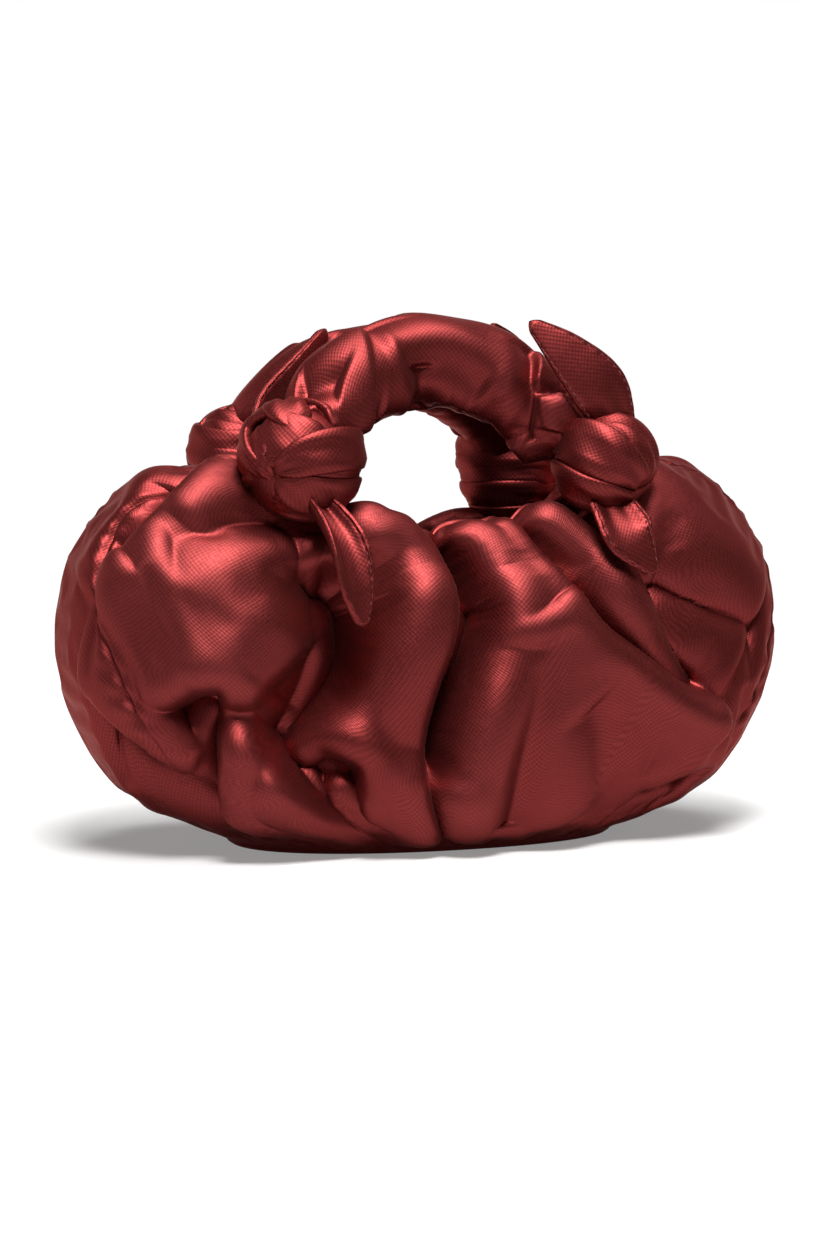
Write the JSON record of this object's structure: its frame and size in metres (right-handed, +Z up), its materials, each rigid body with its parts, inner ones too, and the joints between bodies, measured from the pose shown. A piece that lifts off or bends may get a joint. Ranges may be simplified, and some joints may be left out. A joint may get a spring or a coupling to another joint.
{
  "type": "gathered top-handle handbag",
  "caption": "Soft satin handbag: a gathered pouch on a flat oval base, with padded arched handles tied to its corners in knots with pointed tails.",
  "frame": {"origin": "middle of the flat base, on its underside, where the bag stands on a surface", "axes": "+X to the bag's right as its front is looked at, along its length; +Y from the front to the back; +Z up"},
  "size_m": [0.2943, 0.1609, 0.2071],
  "materials": {
    "satin": "deep red satin weave with a soft sheen",
    "lining": "plain dull red lining cloth"
  },
  "bodies": {
    "root": {"front_panel": "satin", "back_panel": "satin", "left_gusset": "satin", "right_gusset": "satin", "base_panel": "satin", "lining": "lining", "front_handle": "satin", "back_handle": "satin", "front_left_knot": "satin", "front_right_knot": "satin", "back_left_knot": "satin", "back_right_knot": "satin", "front_left_upper_tail": "satin", "front_left_lower_tail": "satin", "front_right_upper_tail": "satin", "front_right_lower_tail": "satin", "back_left_upper_tail": "satin", "back_left_lower_tail": "satin", "back_right_upper_tail": "satin", "back_right_lower_tail": "satin"}
  },
  "joints": []
}
